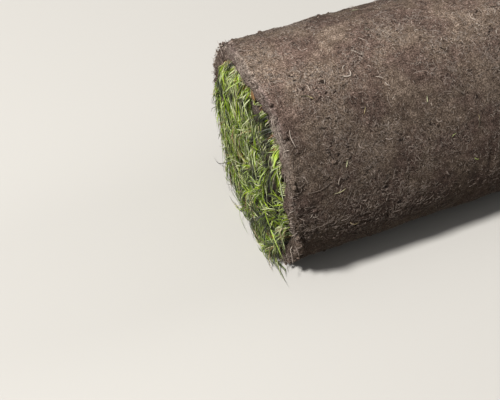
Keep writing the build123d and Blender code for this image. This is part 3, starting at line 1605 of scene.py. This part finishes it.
@dataclass(frozen=True)
class RootFelt(Piece):
    """The fine roots that mat the soil's outer face, as curls that lie on it and stand a little proud."""

    name: str
    seed: int
    between: Span
    lengths: Span
    count: int
    points: int = 4
    curl: float = 1.9
    # How many more of the curls are short than long
    length_power: float = 1.5
    # How little the curls keep to where the soil is torn
    evenness: float = 0.36
    # Real ones are half as thick, too fine to show
    half_thickness: float = 0.31 * MM
    scales: Span = (0.6, 1.25)
    lift: float = 0.6 * MM
    arches: Span = (0.3, 1.3)
    sunk: float = 0.3
    edge_margin: float = 2 * MM
    tone: float = 0.5
    tone_spread: float = 0.14
    # How much paler painted light makes the roots on the roll's top
    top_light_tone: float = 0.2

    def mesh(self) -> bpy.types.Mesh:
        """Lays the curls.

        Returns:
            The roots.
        """
        rng = np.random.default_rng(self.seed)
        winding, count = self.winding, self.count
        half_width = winding.half_width - self.edge_margin
        shortest, longest = self.lengths
        lengths = shortest + (longest - shortest) * rng.random(count) ** self.length_power
        way_across, way_along = curls(rng, count, self.points, lengths, self.curl)
        low, high = (-half_width, self.between[0]), (half_width, self.between[1])
        tries = rng.uniform(low, high, (2 * count, 2))
        torn = self.ground.torn(winding.place(tries[:, 0], tries[:, 1], winding.soil))
        middles = tries[np.argsort(torn + rng.normal(0, self.evenness, len(tries)))[-count:]]
        across = np.clip(middles[:, :1] + way_across, -half_width, half_width)
        along = np.minimum(middles[:, 1:] + way_along, winding.length - MARGIN)
        arch = np.sin(np.linspace(0, math.pi, self.points)) * rng.uniform(*self.arches, count)[:, None]
        lines, sides = self.ground.lying(across, along, self.lift * (arch - self.sunk))
        thickness = self.half_thickness * rng.uniform(*self.scales, count)[:, None] * np.ones(self.points)
        tones = self.tone + rng.normal(0, self.tone_spread, count) + self.top_light_tone * painted_top_light(lines[:, 0])
        strands = Strands(lines, sides, thickness, thickness, np.clip(tones, 0, 1))
        return strands.mesh(self.name, pointed_foot=True)


@dataclass(frozen=True)
class EdgeRoots(Piece):
    """The longer roots that hang down along one cut side, and the fringe of fine ones on its worn edge.

    Each pair of spans is for the long roots and for the fringe.
    """

    side: Side
    seed: int
    long_count: int = 130
    fringe_count: int = 700
    out: tuple[Span, Span] = ((2 * MM, 19 * MM), (12 * MM, 20 * MM))
    lengths: tuple[Span, Span] = ((10 * MM, 34 * MM), (3 * MM, 8 * MM))
    weights: tuple[Span, Span] = ((0.12, 0.4), (0.0, 0.1))
    half_thicknesses: tuple[Span, Span] = ((0.25 * MM, 0.5 * MM), (0.25 * MM, 0.4 * MM))
    bend: Triple = (0.05, 0.14, 0.14)
    proud: Span = (1 * MM, 4 * MM)
    # How a root heads as it leaves the soil: along the strip, out of the end, and away from the grass
    lean: float = 0.8
    push: Span = (0.1, 0.6)
    outward: float = -0.2
    outward_spread: float = 0.35
    thinner_tip: float = 0.5
    width_way: Triple = (0.3, 0.5, 0.8)
    tone: float = 0.6
    tone_spread: float = 0.2
    spans: int = 6
    # A bunch of roots that the photograph shows: between which winding angles in degrees, and how many
    seen_bunch: tuple[float, float, int] = (0, 0, 0)
    bunch_leans: Span = (0.8, 1.6)
    bunch_weight: float = 0.2
    bunch_tones: Span = (0.5, 0.95)

    def mesh(self) -> bpy.types.Mesh:
        """Hangs the roots.

        Returns:
            The roots.
        """
        rng = np.random.default_rng(self.seed)
        winding = self.winding
        count = self.long_count + self.fringe_count
        long = np.arange(count) < self.long_count
        foot = rng.uniform(winding.last_turn, winding.length, count)
        first, last, bunched = self.seen_bunch
        foot[:bunched] = winding.along_at(np.radians(rng.uniform(first, last, bunched)))
        feet = self.ground.on_cut_side(self.side, foot, either(rng, long, self.out), -MARGIN)
        lean = rng.normal(0, self.lean, count)
        lean[:bunched] = rng.uniform(*self.bunch_leans, bunched)
        push = self.side.value * rng.uniform(*self.push, count)
        outward = rng.normal(self.outward, self.outward_spread, count)
        headings = unit(winding.pointing(foot, push, outward, lean))
        lengths = either(rng, long, self.lengths)
        weights = either(rng, long, self.weights)
        weights[:bunched] *= self.bunch_weight
        bends = rng.normal(0, 1, (count, 3)) * self.bend
        edge = self.ground.stray(feet[:, 0], foot) * self.side.value
        farthest = edge + rng.uniform(*self.proud, count)
        nearest = farthest - MARGIN
        hanging = Hanging(winding, self.side, feet, headings, lengths, weights, bends, nearest, farthest)
        lines = hanging.lines(self.spans)
        taper = np.linspace(1, self.thinner_tip, self.spans + 1)
        thickness = either(rng, long, self.half_thicknesses)[:, None] * taper
        sides = np.broadcast_to(self.width_way, lines.shape)
        tones = np.clip(rng.normal(self.tone, self.tone_spread, count), 0, 1)
        tones[:bunched] = rng.uniform(*self.bunch_tones, bunched)
        strands = Strands(lines, sides, thickness, thickness, tones)
        return strands.mesh(f"{self.side.name.lower()}_edge_roots")


@dataclass(frozen=True)
class Scrap:
    """One clipping, straw or stick on the roll: the places of its two ends, its tone and its half width.

    A place is how far across the strip it is, and its winding angle in degrees.
    """

    start: Span
    end: Span
    tone: float
    half_width: float = 0.7 * MM
    bow: float = 0.0


# What lies on the soil where the photograph shows it
SEEN_CLIPPINGS = (
    Scrap((-260.7 * MM, 1117.5), (-245.2 * MM, 1116.2), 0.82, 0.5 * MM, 0.06),
    Scrap((-268.8 * MM, 1070.9), (-256.0 * MM, 1074.8), 0.9, 0.7 * MM, -0.1),
    Scrap((-133.8 * MM, 1087.2), (-136.0 * MM, 1091.0), 0.80, 0.5 * MM),
    Scrap((-239.9 * MM, 1103.9), (-243.4 * MM, 1107.4), 0.80, 0.5 * MM),
    Scrap((-204.6 * MM, 1084.0), (-209.4 * MM, 1087.6), 0.90, 0.45 * MM),
)
SEEN_ROOTS = (
    Scrap((-191.8 * MM, 1100.1), (-182.7 * MM, 1100.7), 0.80, 0.5 * MM, 0.15),
    Scrap((-216.4 * MM, 1067.0), (-207.2 * MM, 1063.8), 0.95, 0.7 * MM, 0.5),
    Scrap((-209.0 * MM, 1061.5), (-213.0 * MM, 1064.5), 0.85, 0.6 * MM, 0.3),
    Scrap((-175.3 * MM, 1075.8), (-170.6 * MM, 1078.4), 0.90, 0.6 * MM, 0.2),
    Scrap((-295.8 * MM, 1084.7), (-294.6 * MM, 1092.9), 0.85, 0.5 * MM, 0.1),
    Scrap((-290.0 * MM, 1113.0), (-262.0 * MM, 1111.0), 0.45, 0.4 * MM, 0.1),
    Scrap((-285.0 * MM, 1134.0), (-262.0 * MM, 1131.0), 0.6, 0.4 * MM, 0.08),
)


@dataclass(frozen=True)
class Litter(Piece):
    """Clippings, straws or loose roots that stick to the soil's outer face.

    Places on the strip are handled as complex numbers here, across + along i.
    """

    name: str
    seed: int
    seen: tuple[Scrap, ...]
    scattered: int
    palest: float
    darkest: float = 0.6
    points: int = 5
    edge_margin: float = 15 * MM
    end_margins: Span = (60 * MM, 20 * MM)
    half_lengths: Span = (2 * MM, 8 * MM)
    half_widths: Span = (0.3 * MM, 0.6 * MM)
    bow_spread: float = 0.15
    lift: float = 0.9 * MM
    arch: float = 0.5 * MM
    # A scrap's width, as pairs of where along it and how wide
    profile: tuple[Span, ...] = ((0, 0.7), (0.25, 1), (0.6, 1), (1, 0.5))
    flatness: float = 0.6

    def mesh(self) -> bpy.types.Mesh:
        """Lays the scraps out.

        Returns:
            The scraps.
        """
        rng = np.random.default_rng(self.seed)
        winding, count = self.winding, self.scattered
        across, angle = np.array([(scrap.start, scrap.end) for scrap in self.seen]).T
        start, end = across + 1j * winding.along_at(np.radians(angle))
        tones, widths, bows = np.array([(scrap.tone, scrap.half_width, scrap.bow) for scrap in self.seen]).T

        first, last = winding.last_turn + self.end_margins[0], winding.length - self.end_margins[1]
        middle = rng.uniform(-1, 1, count) * (winding.half_width - self.edge_margin) + 0j
        middle += 1j * rng.uniform(first, last, count)
        way = np.exp(1j * rng.uniform(0, math.tau, count)) * rng.uniform(*self.half_lengths, count)
        start, end = np.append(start, middle - way), np.append(end, middle + way)
        tones = np.append(tones, rng.uniform(self.darkest, self.palest, count))
        widths = np.append(widths, rng.uniform(*self.half_widths, count))
        bows = np.append(bows, rng.normal(0, self.bow_spread, count))

        part = np.linspace(0, 1, self.points)
        arch = np.sin(math.pi * part)
        flat = start[:, None] + (end - start)[:, None] * (part + 1j * bows[:, None] * arch)
        lines, sides = self.ground.lying(flat.real, flat.imag, self.lift + self.arch * arch)
        widths = widths[:, None] * np.interp(part, *np.transpose(self.profile))
        return Strands(lines, sides, widths, widths * self.flatness, tones).mesh(self.name)


@dataclass(frozen=True)
class Crumbs(Piece):
    """Crumbs of soil that cling to the strip, mostly beside its crumbling cut sides."""

    seed: int = 61
    count: int = 320
    smallest: float = 0.9 * MM
    largest: float = 2.8 * MM
    end_margin: float = 3 * MM
    # How closely they keep to the cut sides, and how many more of them are small than large
    inset_power: int = 4
    size_power: int = 3
    # How far a crumb's middle is out of the soil, how it is squashed, and its lumps, as shares of its radius
    lift: float = 0.2
    squash: Span = (0.65, 1.25)
    lump: float = 0.8
    lumpiness: float = 0.35
    # Sets the crumbs so far apart in the noise that none has another's lumps
    apart: float = 900
    # The crumbs' levels of rim paleness, painted light and tearing
    wear: tuple[tuple[str, float], ...] = (("rim", 0.3), ("painted_light", 0.3), ("torn", 0.5))

    def mesh(self) -> bpy.types.Mesh:
        """Presses the crumbs on.

        Returns:
            A mesh with the attributes rim, dry and torn.
        """
        rng = np.random.default_rng(self.seed)
        winding = self.winding
        ball = bmesh.new()
        bmesh.ops.create_icosphere(ball, subdivisions=2, radius=1.0)
        vertices, triangles = taken_apart(ball)
        inset = winding.half_width * rng.random(self.count) ** self.inset_power + MARGIN
        across = rng.choice([-1.0, 1.0], self.count) * (winding.half_width - inset)
        along = rng.uniform(winding.last_turn, winding.length - self.end_margin, self.count)
        radius = self.smallest + (self.largest - self.smallest) * rng.random(self.count) ** self.size_power
        centres = self.ground.on_outer_face(across, along, self.lift * radius)
        shape = vertices[None] * rng.uniform(*self.squash, (self.count, 1, 3))
        own = shape + centres[:, None] * self.apart
        shape = shape * (1 + self.lumpiness * self.ground.lattice.at(own, self.lump))[..., None]
        mesh = joined_copies("soil_crumbs", centres[:, None] + shape * radius[:, None, None], triangles)
        for name, value in self.wear:
            add_value(mesh, name, np.full(len(mesh.vertices), value))
        return mesh


@dataclass(frozen=True)
class Lamp:
    """A round lamp that shines on the origin from some way off."""

    name: str
    direction: Triple
    distance: float
    size: float
    power: float

    def hang(self) -> None:
        """Hangs the lamp."""
        light = bpy.data.lights.new(self.name, "AREA")
        light.shape = "DISK"
        light.size = self.size
        light.energy = self.power
        holder = add_object(self.name, light)
        away = Vector(self.direction).normalized()
        holder.location = away * self.distance
        holder.rotation_euler = (-away).to_track_quat("-Z", "Y").to_euler()


@dataclass(frozen=True)
class Studio:
    """The floor, the light and the camera, which stands as the photograph's did.

    The key lights the roll from high on the left, where the photograph's light comes from. The fill lights
    only the far end, which the photograph doesn't show. The camera's angles are in degrees.
    """

    floor_size: float = 12.0
    horizon: float = 0.11
    zenith: float = 0.28
    sky_colour: str = "#eef1f4"
    backdrop: str = "#e4e2de"
    key: Lamp = Lamp("key", (-0.75, -0.12, 1.0), distance=5.0, size=0.6, power=340.0)
    fill: Lamp = Lamp("fill", (1.0, 0.0, 0.35), distance=5.0, size=2.0, power=90.0)
    camera_place: Triple = (-0.5712, -0.6479, 0.8955)
    camera_yaw: float = 22.15
    camera_pitch: float = 51.06
    focal_pixels: float = 900.0
    frame_pixels: float = 500.0
    sensor: float = 36.0

    def build(self) -> None:
        """Sets the whole studio up."""
        self.add_floor()
        self.add_sky()
        self.key.hang()
        self.fill.hang()
        self.add_camera()
        bpy.context.scene.view_settings.view_transform = "Standard"

    def add_floor(self) -> None:
        """Lays the floor."""
        shape = bmesh.new()
        bmesh.ops.create_grid(shape, x_segments=1, y_segments=1, size=self.floor_size / 2)
        mesh = mesh_of(shape, "studio_floor")
        mesh.materials.append(PlainFloor().material)
        add_object("studio_floor", mesh)

    def add_sky(self) -> None:
        """Lights the roll softly from above, and shows the camera a pale backdrop."""
        world = bpy.data.worlds.new("studio")
        bpy.context.scene.world = world
        world.use_nodes = True
        tree = world.node_tree
        tree.nodes.clear()
        direction = add_node(tree, "TexCoord", output="Generated")
        height = add_node(tree, "SeparateXYZ", {0: direction}, output="Z")
        limits = {"Value": height, "To Min": self.horizon, "To Max": self.zenith}
        strength = add_node(tree, "MapRange", limits)
        light = add_node(tree, "Background", {"Color": linear(self.sky_colour), "Strength": strength})
        shown = add_node(tree, "Background", {"Color": linear(self.backdrop), "Strength": 1.0})
        surface = add_node(tree, "MixShader", {0: plainly_seen(tree), 1: light, 2: shown})
        add_node(tree, "OutputWorld", {"Surface": surface})

    def add_camera(self) -> None:
        """Stands the camera where the photograph was taken from."""
        camera = bpy.data.cameras.new("camera")
        camera.sensor_width = self.sensor
        camera.lens = self.focal_pixels * self.sensor / self.frame_pixels
        yaw, pitch = math.radians(self.camera_yaw), math.radians(self.camera_pitch)
        right = Vector((math.cos(yaw), -math.sin(yaw), 0))
        ahead = Vector((math.sin(yaw) * math.cos(pitch), math.cos(yaw) * math.cos(pitch), -math.sin(pitch)))
        stand = Matrix((right, right.cross(ahead), -ahead)).transposed().to_4x4()
        stand.translation = self.camera_place
        holder = add_object("camera", camera)
        holder.matrix_world = stand
        bpy.context.scene.camera = holder


def corners(bounds: tuple) -> list[list[float]]:
    """A box's corners as plain lists of numbers."""
    return [[float(value) for value in corner] for corner in bounds]


def main() -> None:
    """Builds the roll's pieces and the studio."""
    logging.basicConfig(level=logging.INFO, format="%(name)s %(message)s")
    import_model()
    winding = Winding()
    ground = Ground(winding, Lattice(seed=11))
    loam, roots, grass = CutLoam(), TornRoots(), LawnGrass()
    seen_tufts = ((1089, 0.58, 28 * MM), (1091, 0.64, 26 * MM), (1055, 0.97, 12 * MM))
    begin, end = winding.last_turn, winding.length
    halfway = (begin + end) / 2
    back, front, turn = (begin, halfway), (halfway, end), (begin, end)
    short, long = (3 * MM, 8 * MM), (7 * MM, 18 * MM)
    long_curls = RootFelt(
        ground, "long_root_curls", seed=33, between=turn, lengths=long, count=2000, points=7, tone=0.52
    )
    pieces = (
        (SoilStrip(ground), loam),
        (PressedGrass(ground), Thatch()),
        (EndGrass(ground, Side.LEFT, seed=24, tufts=570, seen_tufts=seen_tufts), grass),
        (EndGrass(ground, Side.RIGHT, seed=22, tufts=400, half_width=0.9 * MM), grass),
        (TailGrass(ground), grass),
        (RootFelt(ground, "root_felt_back", seed=31, between=back, lengths=short, count=13000), roots),
        (RootFelt(ground, "root_felt_front", seed=32, between=front, lengths=short, count=15500), roots),
        (long_curls, roots),
        (EdgeRoots(ground, Side.LEFT, seed=34, seen_bunch=(1074, 1092, 70)), roots),
        (EdgeRoots(ground, Side.RIGHT, seed=35), roots),
        (Litter(ground, "clippings", seed=51, seen=SEEN_CLIPPINGS, scattered=35, palest=0.96), grass),
        (Litter(ground, "loose_roots", seed=52, seen=SEEN_ROOTS, scattered=60, palest=0.9, points=9), roots),
        (Crumbs(ground), loam),
    )
    for piece, finish in pieces:
        built = piece.build(finish)
        log.info("%s: %d triangles", built.name, len(built.data.loop_triangles))
    Studio().build()


if __name__ == "__main__":
    main()
